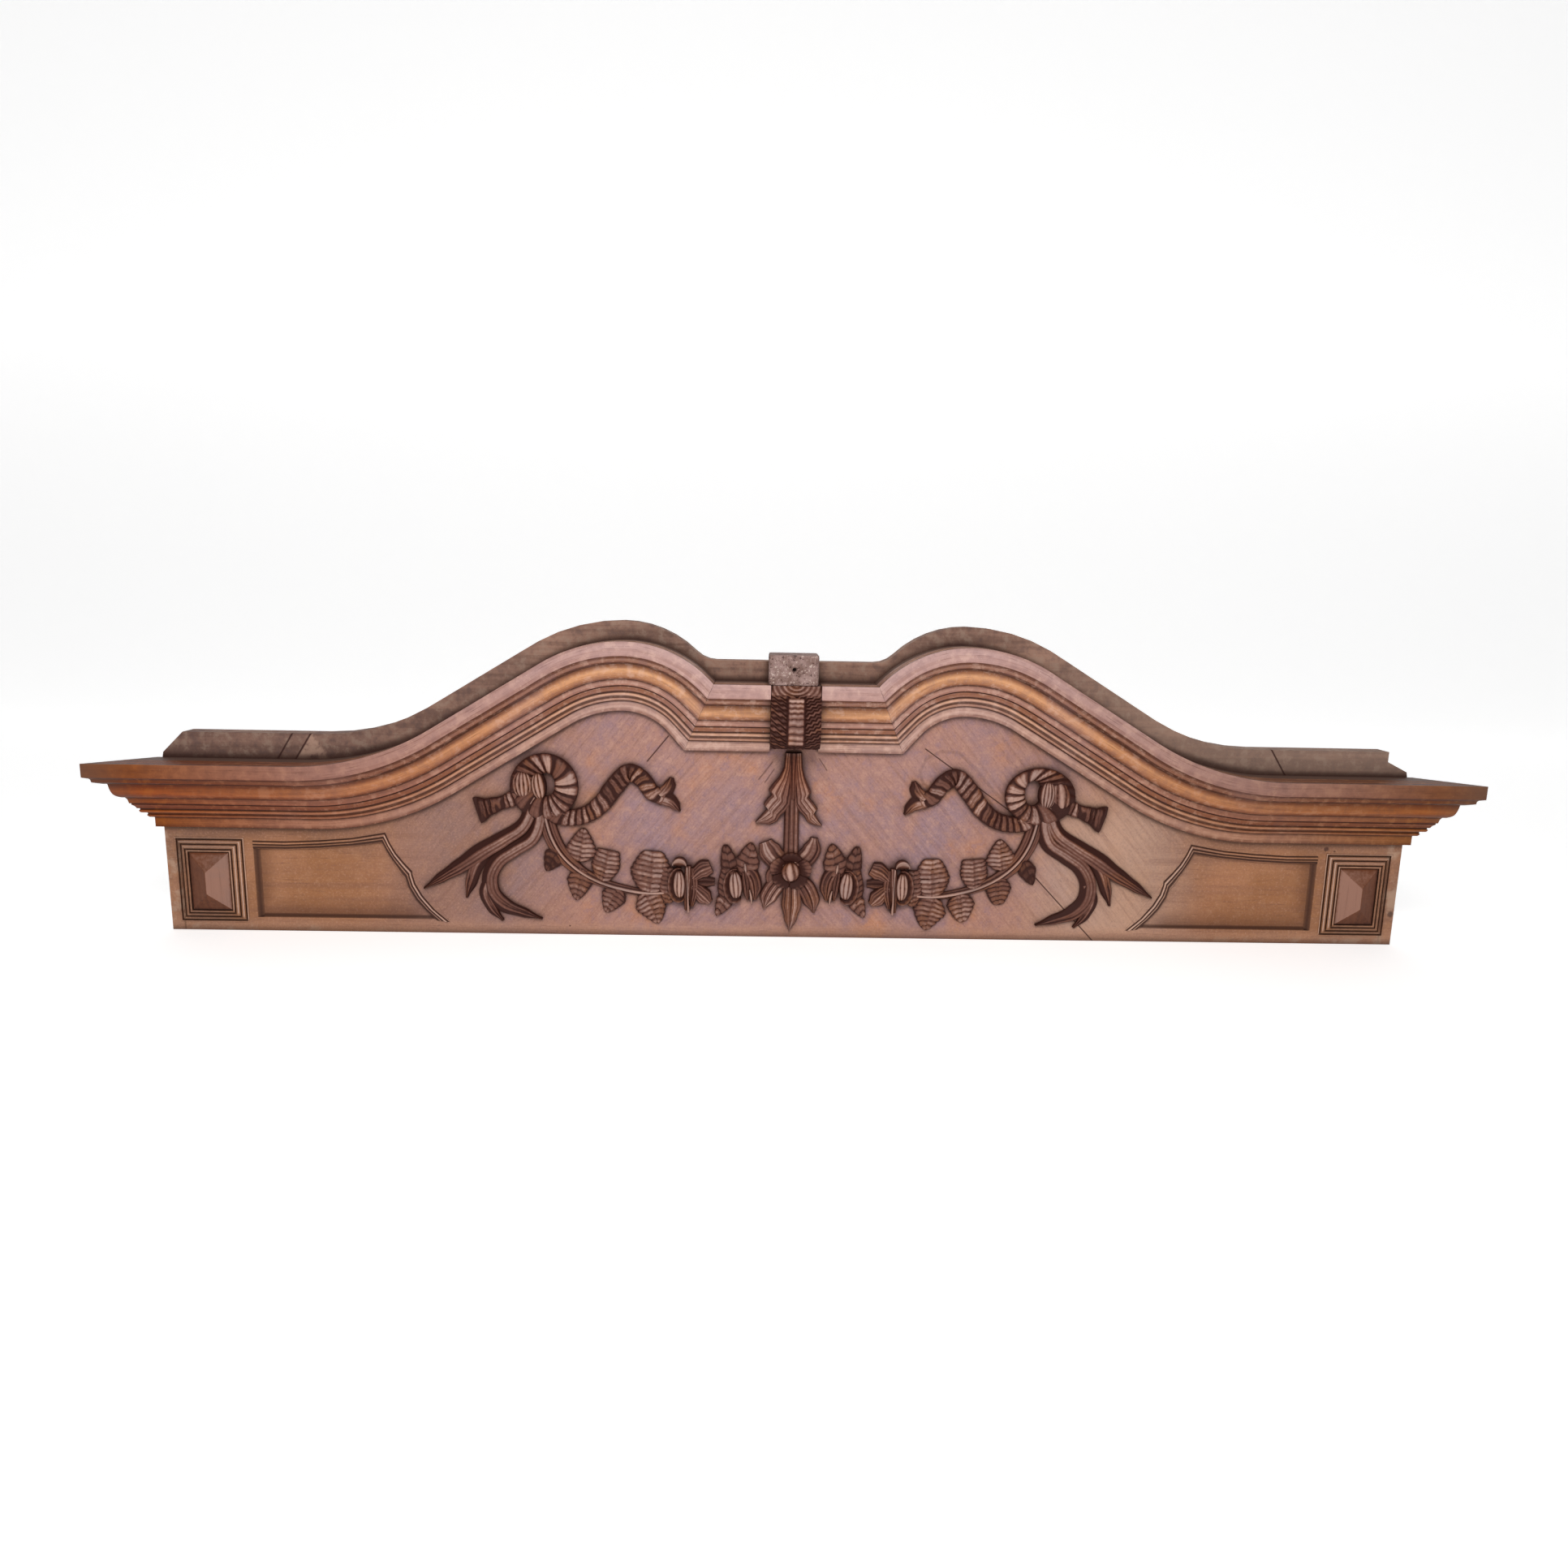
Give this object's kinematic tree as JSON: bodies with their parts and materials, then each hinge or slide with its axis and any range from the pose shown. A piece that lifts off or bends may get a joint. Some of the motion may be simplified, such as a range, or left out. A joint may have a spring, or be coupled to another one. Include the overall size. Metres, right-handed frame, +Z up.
{
  "type": "carved wood pediment",
  "caption": "Carved wooden pediment for the top of a wardrobe: double-humped moulded cornice over a board with ribbon bows, rose swags and a keystone bracket.",
  "frame": {"origin": "middle of the board's flat underside, half way through its thickness", "axes": "+X along the pediment to its right end seen from the front, +Y back into the wardrobe, +Z up"},
  "size_m": [1.72, 0.102, 0.4075],
  "materials": {
    "board": "old walnut-coloured hardwood, worn wax with a dull bloom",
    "cornice": "moulded hardwood, worn wax, satin, darker in the quirks",
    "carving": "carved hardwood, dark stain in the hollows and rubbed light on the ridges",
    "raw_wood": "rough unpolished wood, dusty"
  },
  "bodies": {
    "root": {"frieze_board": "board", "cornice_curve_left": "cornice", "cornice_curve_right": "cornice", "cornice_straight_left": "cornice", "cornice_straight_right": "cornice", "keystone_bracket": "carving", "cap_block": "raw_wood", "boss_left": "board", "boss_right": "board", "swag_left": "carving", "swag_right": "carving", "centre_drop": "carving"}
  },
  "joints": []
}
